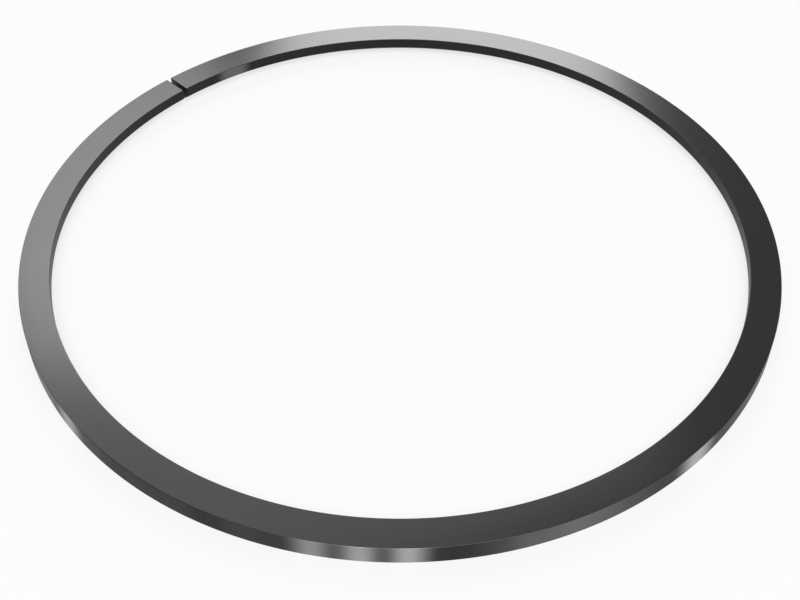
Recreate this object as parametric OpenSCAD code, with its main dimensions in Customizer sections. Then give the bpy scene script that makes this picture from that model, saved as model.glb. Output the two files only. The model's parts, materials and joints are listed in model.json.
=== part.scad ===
// Piston ring: a one-piece split compression ring, closed to the size it has in its bore.
//
// Both sides are flat, and the lower inner edge is cut away by a wide bevel. The bevel makes
// the section lopsided, so that the ring twists a little when it is closed into its bore
// (an internally bevelled, or torsion, ring).
//
// Frame: +Z is the axis of the ring, z = 0 is the plane of its lower side, and the two
// ends meet on the +Y side. All lengths are in millimetres.

/* [Section] */
// Diameter of the cylinder bore, which the closed ring fills
bore_d = 95; // [70:0.5:140]
// Radial width, from the running face to the back
radial_w = 3.75; // [2.5:0.05:5]
// Height of the ring, between its two sides
face_h = 2.5; // [2:0.1:5]

/* [Inside bevel] */
// How far the bevel reaches up the back
bevel_h = 1.05; // [0.3:0.05:1.4]
// How far the bevel reaches along the lower side
bevel_w = 1.4; // [0.3:0.05:1.8]

/* [Edges] */
// Chamfer along the two edges of the running face
face_break = 0.1; // [0.05:0.01:0.15]
// Chamfer along the upper edge of the back
back_break = 0.1; // [0.05:0.01:0.15]
// Chamfer on the four upright edges of the two ends
end_break = 0.1; // [0.05:0.01:0.15]

/* [End gap] */
// Width of the gap between the ends, at the running face
gap_at_face = 0.65; // [0.3:0.05:1.5]
// Width of the gap between the ends, at the back
gap_at_back = 0.6; // [0.2:0.05:1.5]

/* [Hidden] */

// How far a cutter runs past the faces that it cuts
overcut = 1;

// Radii of the running face and of the back
face_r = bore_d / 2;
back_r = face_r - radial_w;

// The sharp corners of the section, anticlockwise, as [radius, height]
face_low = [face_r, 0];
face_top = [face_r, face_h];
back_top = [back_r, face_h];
back_low = [back_r, bevel_h];
bevel_low = [back_r + bevel_w, 0];

// The point that lies a given leg away from a corner, on the side towards another corner
function along(corner, other, leg) = corner + leg * (other - corner) / norm(other - corner);

// A corner with its edge broken: one point on each of the two sides that meet there
function broken(corner, before, after, leg) =
    [along(corner, before, leg), along(corner, after, leg)];

// Half the width of the end gap at a radius: the end faces lean apart towards the bore
function half_gap(r) =
    (gap_at_back + (gap_at_face - gap_at_back) * (r - back_r) / radial_w) / 2;

// The ring's section, standing to the right of the axis. The two blunt edges of the bevel
// are left as they are cut.
module section() {
    polygon(concat(
        broken(face_low, bevel_low, face_top, face_break),
        broken(face_top, face_low, back_top, face_break),
        broken(back_top, face_top, back_low, back_break),
        [back_low, bevel_low]
    ));
}

// One flank of the end gap in plan, from the back out to the bore, with both of its
// upright edges broken at 45 degrees. A side of -1 gives the flank on the other end.
function gap_flank(side) = [
    [side * (half_gap(back_r) + end_break + overcut), back_r - overcut],
    [side * half_gap(back_r + end_break), back_r + end_break],
    [side * half_gap(face_r - end_break), face_r - end_break],
    [side * (half_gap(face_r) + end_break + overcut), face_r + overcut]
];

// The cutter that parts the two ends
module end_gap() {
    right = gap_flank(1);
    left = gap_flank(-1);
    translate([0, 0, -overcut])
        linear_extrude(face_h + 2 * overcut)
            polygon(concat(right, [for (i = [len(left) - 1 : -1 : 0]) left[i]]));
}

// The ring: its section turned once around the axis, then parted at the end gap
module piston_ring() {
    color("dimgray")
        difference() {
            rotate_extrude($fn = 360) section();
            end_gap();
        }
}

piston_ring();
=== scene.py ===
# %% [markdown]
# # A piston ring in dark steel
# This lesson dresses one piston ring. A piston ring is a springy bar of steel, bent round
# until its two ends almost meet, and ground so that it seals a piston in its cylinder.
# The engineering model comes first and never moves. All that Blender adds is the finish of
# the metal, on a finer mesh of the same size. Every length below is in metres.

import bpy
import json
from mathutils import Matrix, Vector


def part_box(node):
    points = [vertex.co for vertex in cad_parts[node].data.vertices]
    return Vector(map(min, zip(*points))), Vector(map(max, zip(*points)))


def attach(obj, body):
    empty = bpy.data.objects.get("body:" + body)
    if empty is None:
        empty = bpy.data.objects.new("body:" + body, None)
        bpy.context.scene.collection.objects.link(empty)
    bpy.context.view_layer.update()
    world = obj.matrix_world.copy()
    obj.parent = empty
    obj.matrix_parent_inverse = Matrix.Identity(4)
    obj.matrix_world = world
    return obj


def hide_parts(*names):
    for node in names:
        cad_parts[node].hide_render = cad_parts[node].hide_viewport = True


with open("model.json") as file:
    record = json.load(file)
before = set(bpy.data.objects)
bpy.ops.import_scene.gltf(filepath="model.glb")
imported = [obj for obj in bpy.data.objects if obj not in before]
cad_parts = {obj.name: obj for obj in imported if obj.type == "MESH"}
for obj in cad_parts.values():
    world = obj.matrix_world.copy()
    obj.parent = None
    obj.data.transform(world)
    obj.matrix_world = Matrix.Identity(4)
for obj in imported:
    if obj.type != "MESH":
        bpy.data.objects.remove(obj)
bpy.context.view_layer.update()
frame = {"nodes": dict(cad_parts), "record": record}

# %% [markdown]
# ## The sizes of the ring
# The real ring is measured with a micrometer and a feeler gauge: how wide it is across, how
# thick the bar is, how tall it stands, how far the inside bevel reaches, and how wide the
# end gap is. The sizes could be typed in again here, but then two files would have to agree.
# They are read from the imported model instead, so a change there arrives here by itself.

# %% Read the radii and the height
import json
import math

import bpy
from mathutils import Vector

MM = 0.001

mounts = {mount["name"]: mount for mount in frame["record"]["mounts"]}
face_radius = mounts["running_face"]["dims"]["r_mm"] * MM
back_radius = mounts["back"]["dims"]["r_mm"] * MM
middle_radius = (face_radius + back_radius) / 2
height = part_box("piston_ring")[1].z
print(f"Running face {face_radius / MM} mm, back {back_radius / MM} mm")
print(f"Height {height / MM:.2f} mm")

# %% [markdown]
# A wide bevel cuts away the lower inner edge, and the end faces lean apart a little towards
# the outside. Both show in the corners of the model's mesh. The bevel runs from the lowest
# corner of the back to the innermost corner of the lower side. The end face on the +X side
# starts at the corner nearest to the middle of the gap, and of all lines from there to a
# corner further out, the end face is the one that leans least.

# %% Read the inside bevel and the end gap
CLOSE = 0.001 * MM
GAP_REACH = 1 * MM

corners = [vertex.co for vertex in frame["nodes"]["piston_ring"].data.vertices]
at_back = [c.z for c in corners if math.hypot(c.x, c.y) < back_radius + CLOSE]
bevel_height = min(at_back)
below = [math.hypot(c.x, c.y) for c in corners if c.z < CLOSE]
bevel_width = min(below) - back_radius
print(f"Bevel {bevel_height / MM:.2f} mm high and {bevel_width / MM:.2f} mm wide")

near_gap = [c for c in corners if c.y > 0 and 0 < c.x < GAP_REACH]
inner = min(near_gap, key=lambda c: c.x)
lean = min((c.x - inner.x) / (c.y - inner.y) for c in near_gap if c.y > middle_radius)
gap_at_face = 2 * (inner.x + lean * (face_radius - inner.y))
gap_at_back = 2 * (inner.x + lean * (back_radius - inner.y))
print(f"End gap {gap_at_face / MM:.3f} mm at the face, {gap_at_back / MM:.3f} mm at the back")

# %% [markdown]
# ## A small helper for node trees
# Materials and Geometry Nodes are both trees of nodes. A tree can be wired by hand, but then
# a sum such as 1 - mask takes four lines and its meaning is lost. Here one method adds any
# node, and what it gives back can be calculated with: each operator adds one Math node.

# %% Value and Tree
class Value:
    """One output of a node, which Python can calculate with."""

    def __init__(self, tree, socket):
        self.tree = tree
        self.socket = socket

    def out(self, key):
        """Another output of the same node, by its name or its number."""
        return Value(self.tree, self.socket.node.outputs[key])

    def __add__(self, other):
        return self.tree.math("ADD", self, other)

    def __radd__(self, other):
        return self.tree.math("ADD", other, self)

    def __sub__(self, other):
        return self.tree.math("SUBTRACT", self, other)

    def __rsub__(self, other):
        return self.tree.math("SUBTRACT", other, self)

    def __mul__(self, other):
        return self.tree.math("MULTIPLY", self, other)

    def __rmul__(self, other):
        return self.tree.math("MULTIPLY", other, self)

    def __truediv__(self, other):
        return self.tree.math("DIVIDE", self, other)


class Tree:
    """A node tree, with one way to add a node to it."""

    def __init__(self, nodes_of):
        self.tree = nodes_of

    def node(self, kind, settings=None, sockets=None, out=0):
        """Adds a node: its settings are set first, then its sockets get values or links."""
        made = self.tree.nodes.new(kind)
        for name, value in (settings or {}).items():
            if name == "capture":
                made.capture_items.new(*value)
            elif name == "choices":
                made.index_switch_items.clear()
                for _ in range(value):
                    made.index_switch_items.new()
            else:
                setattr(made, name, value)
        for key, value in (sockets or {}).items():
            if isinstance(value, Value):
                self.tree.links.new(value.socket, made.inputs[key])
            else:
                made.inputs[key].default_value = value
        return Value(self, made.outputs[out]) if made.outputs else None

    def math(self, operation, *values):
        return self.node("ShaderNodeMath", {"operation": operation}, dict(enumerate(values)))

    def vector(self, x, y, z):
        return self.node("ShaderNodeCombineXYZ", {}, {"X": x, "Y": y, "Z": z})


print("Helpers ready: Value and Tree")

# %% [markdown]
# ## Where a finish finds its place
# The finish of a ring follows the ring: the grinding marks run round it, and a painted
# highlight is found by its angle. A picture wrapped round the metal would need seams. Plain
# object coordinates need none: from them each finish works out how far it is from the axis,
# and feeds that to a four-dimensional noise. The noise runs slowly round the ring and quickly
# across it, so that it draws fine lines that run round without a seam.

# %% A finish, its coordinates and its lines
TRACE_OF_WARMTH = (1.003, 1.0, 0.997, 1.0)


class Finish(Tree):
    """A metal finish, whose coordinates are in millimetres on the ring."""

    def __init__(self, name):
        self.material = bpy.data.materials.new(name)
        self.material.use_nodes = True
        super().__init__(self.material.node_tree)
        self.metal = self.tree.nodes["Principled BSDF"]
        self.metal.inputs["Metallic"].default_value = 1.0
        place = self.node("ShaderNodeTexCoord", {}, {}, "Object")
        self.place = self.scaled(place, 1 / MM)
        x, y, self.up = (self.split(self.place, axis) for axis in "XYZ")
        self.out_from_axis = self.math("SQRT", x * x + y * y)
        self.x, self.y = x, y

    def split(self, vector, axis):
        return self.node("ShaderNodeSeparateXYZ", {}, {"Vector": vector}, axis)

    def scaled(self, vector, factor):
        settings = {"operation": "SCALE"}
        return self.node("ShaderNodeVectorMath", settings, {"Vector": vector, "Scale": factor})

    def noise(self, size, detail=2.0, seed=0.0, place=None):
        """Soft patches about size millimetres across, from 0 to 1."""
        where = self.place if place is None else place
        sockets = {"Vector": where, "W": seed, "Scale": 1 / size, "Detail": detail}
        return self.node("ShaderNodeTexNoise", {"noise_dimensions": "4D"}, sockets, "Fac")

    def lines(self, width, length, detail=2.0, seed=0.0):
        """Fine lines that run round the ring, from 0 to 1."""
        across = self.out_from_axis / width
        along = self.vector(self.x / length, self.y / length, across)
        height = self.up / width + seed
        sockets = {"Vector": along, "W": height, "Scale": 1.0, "Detail": detail}
        return self.node("ShaderNodeTexNoise", {"noise_dimensions": "4D"}, sockets, "Fac")

    def facing(self, angle):
        """How squarely a point faces an angle round the ring: 1 right on it."""
        return (self.x * math.cos(angle) + self.y * math.sin(angle)) / self.out_from_axis

    def between(self, value, low, high, start=0.0, end=1.0):
        """A soft step: start where value is below low, end where it is above high."""
        settings = {"interpolation_type": "SMOOTHSTEP"}
        reach = {"From Min": low, "From Max": high, "To Min": start, "To Max": end}
        sockets = {"Value": value, **reach}
        return self.node("ShaderNodeMapRange", settings, sockets)

    def grey(self, tone):
        """The tone as a colour of bare steel, a trace warmer than grey."""
        sockets = {"Factor": 1.0, 6: TRACE_OF_WARMTH, 7: tone}
        settings = {"data_type": "RGBA", "blend_type": "MULTIPLY"}
        return self.node("ShaderNodeMix", settings, sockets, 2)

    def dress(self, tone, roughness, relief, depth):
        """Joins the tone, the roughness and a relief, depth millimetres deep, to the metal."""
        bump = self.node("ShaderNodeBump", {}, {"Distance": depth * MM, "Height": relief})
        links = {"Base Color": self.grey(tone), "Roughness": roughness, "Normal": bump}
        for name, value in links.items():
            self.tree.links.new(value.socket, self.metal.inputs[name])
        print("Finish:", self.material.name)
        return self.material


# %% [markdown]
# ## The ground sides
# The two sides that seal in the piston's groove are ground flat, many rings at a time,
# between two wide stones. The stones leave a satin grey: flat, even, with fine marks and
# faint clouds where the stone cut a little deeper. The steel itself is dark. A mirror-like
# metal would show the room, and a rough one would look cast, so the roughness lies between.

# %% The finish of the ground sides
GROUND_TONE = 0.11
GROUND_ROUGHNESS = 0.125


def ground_side_finish():
    finish = Finish("ground_steel")
    marks = finish.lines(0.3, 12.0, 1.0, 11.0)
    clouds = finish.noise(14.0, 2.0, 3.0)
    grain = finish.noise(0.8, 1.0, 5.0)
    tone = GROUND_TONE * (0.92 + 0.08 * marks + 0.08 * clouds)
    roughness = GROUND_ROUGHNESS + 0.03 * marks + 0.03 * clouds + 0.003 * grain
    return finish.dress(tone, roughness, marks, 0.0001)


ground_steel = ground_side_finish()

# %% [markdown]
# ## The running face
# The running face slides on the cylinder wall. It is turned, and then lapped in a sleeve of
# the bore's size. Its colour carries painted highlights: short upright stretches are painted
# bright and made smoother, with dull dark ones between them. The smoothness is polish, and the
# bright colour is a painted highlight. The stretches come in two ways. On most of the face
# three passes are laid over each other, each a slow noise that is cut off half way up. The
# height on the face counts for a quarter in it, which makes the stretches stand upright.

# %% The stretches of painted highlight that the passes leave
STRETCH_LENGTHS = (12.0, 8.0, 5.0)
SHARE_OF_A_PASS = 0.15
SEED_STEP = 10.0
UPRIGHT = 0.25
HIGHLIGHT_STARTS_ABOVE = 0.45
HIGHLIGHT_FULL_ABOVE = 0.65
PAINTED_HIGHLIGHT_SIDE = math.radians(230)
HELD_BACK_WITHIN = math.radians(55)
FREE_BEYOND = math.radians(75)
LEFT_OF_THE_PASSES = 0.15


def passes_with_painted_highlight(finish):
    """The polish and painted highlight of the passes, held back on the side of the listed
    stretches.
    """
    upright = finish.vector(finish.x, finish.y, UPRIGHT * finish.up)
    polish_and_painted_highlight = 0.0
    for seed, length in enumerate(STRETCH_LENGTHS):
        # Each pass brightens the colour in its stretches: a painted highlight.
        highlight_noise = finish.noise(length, 0.0, SEED_STEP * seed, upright)
        step = finish.between(highlight_noise, HIGHLIGHT_STARTS_ABOVE, HIGHLIGHT_FULL_ABOVE, 0.0, SHARE_OF_A_PASS)
        polish_and_painted_highlight = polish_and_painted_highlight + step
    squarely = finish.facing(PAINTED_HIGHLIGHT_SIDE)
    far = math.cos(FREE_BEYOND)
    near = math.cos(HELD_BACK_WITHIN)
    return polish_and_painted_highlight * finish.between(squarely, far, near, 1.0, LEFT_OF_THE_PASSES)


print("The passes leave stretches of about", STRETCH_LENGTHS, "mm")

# %% [markdown]
# The side between -X and -Y is looked at most. There the passes are held back, and a few
# painted highlights are listed instead. Each is given by its middle and half its length, in
# degrees round the ring from +X, and by how bright it is. It is brightest in the middle and
# fades softly to both ends.

# %% The listed painted highlights
# Painted highlights: middle and half length in degrees, and brightness.
PAINTED_HIGHLIGHT_LIST = (
    (174, 4, 0.4),
    (214, 4, 0.3),
    (220, 4, 0.4),
    (226, 4, 0.45),
    (247, 16, 0.2),
    (268, 5, 0.5),
)


def painted_highlight_stretches(finish):
    """The painted highlight and polish of the listed stretches."""
    polish_and_painted_highlight = 0.0
    for middle, half_length, share in PAINTED_HIGHLIGHT_LIST:
        end = math.cos(math.radians(half_length))
        # Each stretch brightens the face's colour towards its middle: a painted highlight.
        highlight_falloff = (finish.facing(math.radians(middle)) - end) / (1 - end)
        highlight_falloff = finish.math("MAXIMUM", highlight_falloff, 0.0)
        polish_and_painted_highlight = polish_and_painted_highlight + share * highlight_falloff * highlight_falloff
    return polish_and_painted_highlight


print("Stretches set by hand:", len(PAINTED_HIGHLIGHT_LIST))

# %% [markdown]
# Dull metal is dark and rough. The more polish and painted highlight a point has, the
# smoother it gets, and the brighter its colour, which is the painted highlight. The fine
# scores of the lapping run round the face as well.

# %% The finish of the running face
DULL_LIGHTNESS = 0.18
DULL_ROUGHNESS = 0.36
SHEEN_AT_THE_EDGE = (0.7, 0.7, 0.7, 1.0)


def running_face_finish():
    finish = Finish("lapped_steel_with_painted_highlights")
    polish_and_painted_highlight = passes_with_painted_highlight(finish) + painted_highlight_stretches(finish)
    scores = finish.lines(0.1, 12.0, 3.0, 21.0)
    # Polish brightens the colour here, which is a painted highlight, and lowers the roughness.
    lightness = DULL_LIGHTNESS + polish_and_painted_highlight
    tone = lightness * lightness * (0.8 + 0.4 * scores)
    roughness = DULL_ROUGHNESS - 0.25 * polish_and_painted_highlight + 0.06 * scores
    finish.metal.inputs["Specular Tint"].default_value = SHEEN_AT_THE_EDGE
    return finish.dress(tone, roughness, scores, 0.0006)


lapped_steel_with_painted_highlights = running_face_finish()

# %% [markdown]
# ## The back and the ends
# Nothing rubs on the back of the ring, so it keeps the dark phosphate coat that the whole
# ring is dipped in against rust. The coat is made of tiny crystals: dark, fine-grained and
# duller than the ground steel. The end faces are cut before the dip, so they are as dark.
# A little to one side of the gap, the coat's colour is painted lighter and its roughness is
# lower: a painted highlight.

# %% The finish of the back and the ends
BACK_HIGHLIGHT_ANGLE = math.radians(79)
BACK_HIGHLIGHT_HALF_ANGLE = math.radians(4)
COAT_LIGHTNESS = 0.17
BACK_HIGHLIGHT_LIFT = 0.2
COAT_ROUGHNESS = 0.38


def coated_finish():
    finish = Finish("phosphated_steel")
    crystals = finish.noise(0.2, 2.0, 7.0)
    turning = finish.lines(0.25, 15.0, 2.0, 31.0)
    clouds = finish.noise(9.0, 2.0, 9.0)
    # Near the gap the coat is painted lighter: a painted highlight.
    back_highlight_facing = finish.facing(BACK_HIGHLIGHT_ANGLE)
    back_highlight = finish.between(back_highlight_facing, math.cos(BACK_HIGHLIGHT_HALF_ANGLE), 1.0)
    lightness = COAT_LIGHTNESS + BACK_HIGHLIGHT_LIFT * back_highlight
    tone = lightness * lightness * (0.75 + 0.2 * crystals + 0.15 * turning + 0.15 * clouds)
    roughness = COAT_ROUGHNESS + 0.08 * crystals + 0.05 * clouds - 0.08 * back_highlight
    return finish.dress(tone, roughness, crystals + turning, 0.0008)


phosphated_steel = coated_finish()

# %% [markdown]
# ## The ring itself
# The ring's shape follows a rule: one section, carried round a circle from one end face to
# the other. Geometry Nodes state such a rule directly. A five-cornered section is swept
# along a straight bar. Then every point of the bar is sent to its place on the circle. Each
# point knows two things: its share of the way along the bar, and its place in the section.
# The end faces lean, so a point near the back has a little further to go than one at the
# face, and its share of the way is measured from its own half gap.

# %% The inputs of the ring tree
group = bpy.data.node_groups.new("Ring from a bar", "GeometryNodeTree")
ring_tree = Tree(group)
inputs = {}


def ask(name, kind):
    """Adds a named input to the tree, remembers its identifier, and gives its value."""
    inputs[name] = group.interface.new_socket(name, in_out="INPUT", socket_type=kind).identifier
    source = group.nodes.get("Group Input") or group.nodes.new("NodeGroupInput")
    return Value(ring_tree, source.outputs[name])


ask("Geometry", "NodeSocketGeometry")
group.interface.new_socket("Geometry", in_out="OUTPUT", socket_type="NodeSocketGeometry")
LENGTHS = (
    "Face radius",
    "Back radius",
    "Height",
    "Bevel height",
    "Bevel width",
    "Gap at face",
    "Gap at back",
)
face_r, back_r, tall, bevel_tall, bevel_wide, face_gap, back_gap = (
    ask(name, "NodeSocketFloat") for name in LENGTHS
)
steps = ask("Steps round", "NodeSocketInt")
side_metal, face_metal, back_metal = (
    ask(name, "NodeSocketMaterial") for name in ("Sides", "Running face", "Back and ends")
)
print("The ring tree asks for", ", ".join(inputs))

# %% The section, swept along a straight bar
section_corners = (
    ring_tree.vector(face_r, 0.0, 0.0),
    ring_tree.vector(face_r, tall, 0.0),
    ring_tree.vector(back_r, tall, 0.0),
    ring_tree.vector(back_r, bevel_tall, 0.0),
    ring_tree.vector(back_r + bevel_wide, 0.0, 0.0),
)
number = ring_tree.node("GeometryNodeInputIndex")
corner = ring_tree.node(
    "GeometryNodeIndexSwitch",
    {"data_type": "VECTOR", "choices": len(section_corners)},
    {0: number, **dict(enumerate(section_corners, 1))},
)
loop = {"Resolution": len(section_corners)}
section = ring_tree.node("GeometryNodeCurvePrimitiveCircle", {}, loop)
placed = {"Geometry": section, "Position": corner}
section = ring_tree.node("GeometryNodeSetPosition", {}, placed)
section = ring_tree.node(
    "GeometryNodeCaptureAttribute",
    {"domain": "POINT", "capture": ("VECTOR", "In section")},
    {"Geometry": section, 1: ring_tree.node("GeometryNodeInputPosition")},
)
bar = ring_tree.node("GeometryNodeCurvePrimitiveLine", {}, {"End": (1.0, 0.0, 0.0)})
points = {"Curve": bar, "Count": steps + 1}
bar = ring_tree.node("GeometryNodeResampleCurve", {"mode": "COUNT"}, points)
bar = ring_tree.node(
    "GeometryNodeCaptureAttribute",
    {"domain": "POINT", "capture": ("FLOAT", "Share")},
    {"Geometry": bar, 1: ring_tree.node("GeometryNodeSplineParameter", {}, {}, "Factor")},
)
swept = {"Curve": bar, "Profile Curve": section, "Fill Caps": True}
straight_bar = ring_tree.node("GeometryNodeCurveToMesh", {}, swept)
straight_bar = ring_tree.node("GeometryNodeFlipFaces", {}, {"Mesh": straight_bar})
print("The bar is swept from a section of", len(section_corners), "corners")

# %% Bend the bar round
in_section = section.out(1)
share = bar.out(1)
radius = ring_tree.node("ShaderNodeSeparateXYZ", {}, {"Vector": in_section}, "X")
level = ring_tree.node("ShaderNodeSeparateXYZ", {}, {"Vector": in_section}, "Y")
outwards = (radius - back_r) / (face_r - back_r)
half_gap = (back_gap + (face_gap - back_gap) * outwards) / 2
start = ring_tree.math("ARCSINE", half_gap / radius)
angle = math.pi / 2 + start + share * (2 * math.pi - 2 * start)
on_circle = ring_tree.vector(
    radius * ring_tree.math("COSINE", angle), radius * ring_tree.math("SINE", angle), level
)
placed = {"Geometry": straight_bar, "Position": on_circle}
bent = ring_tree.node("GeometryNodeSetPosition", {}, placed)
print("The bar is bent round from one side of the gap to the other")

# %% [markdown]
# ## Which face gets which finish
# A face's finish follows from the way it looks: straight up or down is a ground side,
# straight out from the axis is the running face, and all else is coated. That way the
# finishes need no list of faces, and stay right when a size changes.

# %% Give each face its finish, and close the tree
FACING_SQUARELY = 0.9

where = ring_tree.node("GeometryNodeInputPosition")
only_across = {0: where, 1: (1.0, 1.0, 0.0)}
flat = ring_tree.node("ShaderNodeVectorMath", {"operation": "MULTIPLY"}, only_across)
normal = ring_tree.node("GeometryNodeInputNormal")
upward = ring_tree.node("ShaderNodeSeparateXYZ", {}, {0: normal}, "Z")
lies_flat = ring_tree.math("ABSOLUTE", upward)
outward = ring_tree.node("ShaderNodeVectorMath", {"operation": "NORMALIZE"}, {0: flat})
both = {0: normal, 1: outward}
faces_out = ring_tree.node("ShaderNodeVectorMath", {"operation": "DOT_PRODUCT"}, both, "Value")

result = ring_tree.node("GeometryNodeSetShadeSmooth", {}, {"Geometry": bent})
result = ring_tree.node("GeometryNodeRealizeInstances", {}, {"Geometry": result})
result = ring_tree.node("GeometryNodeSetMaterial", {}, {"Geometry": result, "Material": back_metal})
for mask, metal in ((lies_flat, side_metal), (faces_out, face_metal)):
    chosen = ring_tree.math("GREATER_THAN", mask, FACING_SQUARELY)
    sockets = {"Geometry": result, "Selection": chosen, "Material": metal}
    result = ring_tree.node("GeometryNodeSetMaterial", {}, sockets)
ring_tree.node("NodeGroupOutput", {}, {"Geometry": result})
print("The ring tree has", len(group.nodes), "nodes")

# %% [markdown]
# ## From the tree to a plain mesh
# Three modifiers make the ring: the tree, a Bevel and a Weighted Normal. A ground edge is as
# sharp as a blade, so a maker breaks it with a stone, and the Bevel does that to every edge
# where two faces meet at a steep angle. The Weighted Normal keeps the sides looking flat
# right up to those edges. The tree's sizes are handed over by the identifier of each input.
# The result is kept as a plain mesh, because a finished part should not depend on a recipe.

# %% Make the ring
EDGE_BREAK = 0.06 * MM
STEEP = math.radians(30)
STEPS_ROUND = 720

values = {
    "Face radius": face_radius,
    "Back radius": back_radius,
    "Height": height,
    "Bevel height": bevel_height,
    "Bevel width": bevel_width,
    "Gap at face": gap_at_face,
    "Gap at back": gap_at_back,
    "Steps round": STEPS_ROUND,
    "Sides": ground_steel,
    "Running face": lapped_steel_with_painted_highlights,
    "Back and ends": phosphated_steel,
}
ring = bpy.data.objects.new("finished_ring", bpy.data.meshes.new("finished_ring"))
bpy.context.scene.collection.objects.link(ring)
shape = ring.modifiers.new("Ring from a bar", "NODES")
shape.node_group = group
for name, value in values.items():
    shape[inputs[name]] = value

edges = ring.modifiers.new("Broken edges", "BEVEL")
edges.limit_method = "ANGLE"
edges.angle_limit = STEEP
edges.width = EDGE_BREAK
edges.segments = 3
shading = ring.modifiers.new("Even shading", "WEIGHTED_NORMAL")
shading.weight = 50

# %% Keep it as a plain mesh
evaluated = ring.evaluated_get(bpy.context.evaluated_depsgraph_get())
plain = bpy.data.meshes.new_from_object(evaluated)
ring.modifiers.clear()
ring.data = plain
plain.calc_loop_triangles()
print("The ring has", len(plain.loop_triangles), "triangles in", [m.name for m in plain.materials])

# %% The ring stands for the engineering model
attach(ring, "root")
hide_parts("piston_ring")

# %% [markdown]
# ## The floor
# The ring lies on a plain pale floor, as on a sheet of card in a studio. The card is lit by
# the same lamps as the ring, and a little of its brightness is added for what the camera and
# the metal see of it, so that it looks white and still keeps the ring's shadow.

# %% Lay the floor
FLOOR_SIZE = 8.0
SEEN_WHITE = 0.75
CARD_COLOUR = (0.96, 0.96, 0.96, 1.0)

lowest = min(vertex.co.z for vertex in plain.vertices)
half = FLOOR_SIZE / 2
sheet = bpy.data.meshes.new("floor")
floor_corners = [(x * half, y * half, lowest) for x, y in ((-1, -1), (1, -1), (1, 1), (-1, 1))]
sheet.from_pydata(floor_corners, [], [(0, 1, 2, 3)])
floor = bpy.data.objects.new("floor", sheet)
bpy.context.scene.collection.objects.link(floor)

card = bpy.data.materials.new("pale_card")
card.use_nodes = True
paint = Tree(card.node_tree)
seen = paint.node("ShaderNodeLightPath")
direct = paint.math("MAXIMUM", seen.out("Is Camera Ray"), seen.out("Is Glossy Ray"))
direct = paint.math("MAXIMUM", direct, seen.out("Is Transmission Ray"))
dull = paint.node("ShaderNodeBsdfDiffuse", {}, {"Color": CARD_COLOUR})
white = paint.node("ShaderNodeEmission", {}, {"Color": (1.0, 1.0, 1.0, 1.0), "Strength": 1.0})
mixed = paint.node("ShaderNodeMixShader", {}, {0: direct * SEEN_WHITE, 1: dull, 2: white})
card.node_tree.links.new(mixed.socket, card.node_tree.nodes["Material Output"].inputs["Surface"])
sheet.materials.append(card)
print(f"The floor lies at {lowest / MM:.3f} mm")

# %% [markdown]
# ## The light
# Dark metal shows little of its own colour: what the eye reads is the room in it. A soft box
# high behind the viewer lights the card, and the flat sides of the ring never mirror it. One
# low behind the ring draws the bright sheen on its far side, a narrower one carries the sheen
# round to the left, and a wide dim panel above them lets it fade towards the viewer. The
# room itself is white at the floor and fades upwards to a plain grey.

# %% The room
FADES_UNTIL = 0.36
GLOW_ABOVE = 0.28

world = bpy.data.worlds.new("plain_room")
world.use_nodes = True
bpy.context.scene.world = world
room = Tree(world.node_tree)
direction = room.node("ShaderNodeTexCoord", {}, {}, "Generated")
rise = room.node("ShaderNodeSeparateXYZ", {}, {"Vector": direction}, "Z")
fade = {"Value": rise, "From Max": FADES_UNTIL, "To Min": 1.0, "To Max": GLOW_ABOVE}
glow = room.node("ShaderNodeMapRange", {"interpolation_type": "SMOOTHSTEP"}, fade)
backdrop = world.node_tree.nodes["Background"]
backdrop.inputs["Color"].default_value = (1.0, 1.0, 1.0, 1.0)
world.node_tree.links.new(glow.socket, backdrop.inputs["Strength"])

# %% The soft boxes
VIEW_TURN = math.radians(-45)
LAMP_DISTANCE = 2.4


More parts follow.
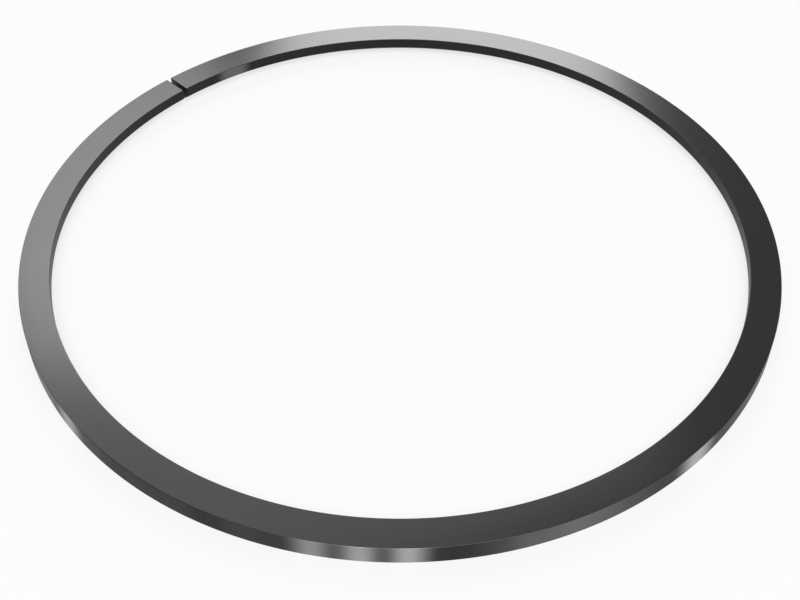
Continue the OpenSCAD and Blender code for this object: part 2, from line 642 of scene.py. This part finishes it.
def softbox(name, turn, rise, half_width, half_height, radiance):
    """A soft box, in degrees as seen from the ring. Turn is counted from the far side."""
    lamp = bpy.data.lights.new(name, "AREA")
    lamp.shape = "RECTANGLE"
    lamp.size = 2 * LAMP_DISTANCE * math.tan(math.radians(half_width))
    lamp.size_y = 2 * LAMP_DISTANCE * math.tan(math.radians(half_height))
    lamp.energy = radiance * math.pi * lamp.size * lamp.size_y
    box = bpy.data.objects.new(name, lamp)
    bpy.context.scene.collection.objects.link(box)
    heading = math.pi / 2 + VIEW_TURN - math.radians(turn)
    up = math.radians(rise)
    flat_part = math.cos(up)
    towards = Vector((math.cos(heading) * flat_part, math.sin(heading) * flat_part, math.sin(up)))
    box.location = towards * LAMP_DISTANCE
    box.rotation_euler = towards.to_track_quat("Z", "Y").to_euler()
    print(f"{name}: {lamp.size:.2f} x {lamp.size_y:.2f} m, {lamp.energy:.2f} W")


softbox("key_softbox", turn=180, rise=62, half_width=20, half_height=20, radiance=4.2)
softbox("far_softbox", turn=2.5, rise=30.5, half_width=8, half_height=10, radiance=4.1)
softbox("left_softbox", turn=-17.5, rise=39, half_width=6, half_height=7, radiance=2.1)
softbox("left_panel", turn=-24, rise=50, half_width=26, half_height=10, radiance=0.5)

# %% [markdown]
# ## The camera
# The ring is seen from about 45 degrees above, near enough for its far side to look clearly
# smaller than its near side. The camera aims at a point of the upper side's plane that lies
# a little nearer to it than the axis, which keeps the ring in the middle of the picture.

# %% Set up the camera
CAMERA_RISE = math.radians(45)
CAMERA_DISTANCE = 3.3 * face_radius
AIM_NEARER = 0.25 * face_radius
FOCAL_LENGTH = 58.5

lens = bpy.data.cameras.new("camera")
lens.lens = FOCAL_LENGTH
lens.clip_start = 0.01
camera = bpy.data.objects.new("camera", lens)
bpy.context.scene.collection.objects.link(camera)
near = Vector((math.sin(VIEW_TURN), -math.cos(VIEW_TURN), 0.0))
back = near * math.cos(CAMERA_RISE) + Vector((0.0, 0.0, math.sin(CAMERA_RISE)))
aim = near * AIM_NEARER + Vector((0.0, 0.0, height))
camera.location = aim + back * CAMERA_DISTANCE
camera.rotation_euler = back.to_track_quat("Z", "Y").to_euler()
bpy.context.scene.camera = camera
bpy.context.scene.view_settings.view_transform = "Standard"
print("The camera stands at", [round(c, 4) for c in camera.location])
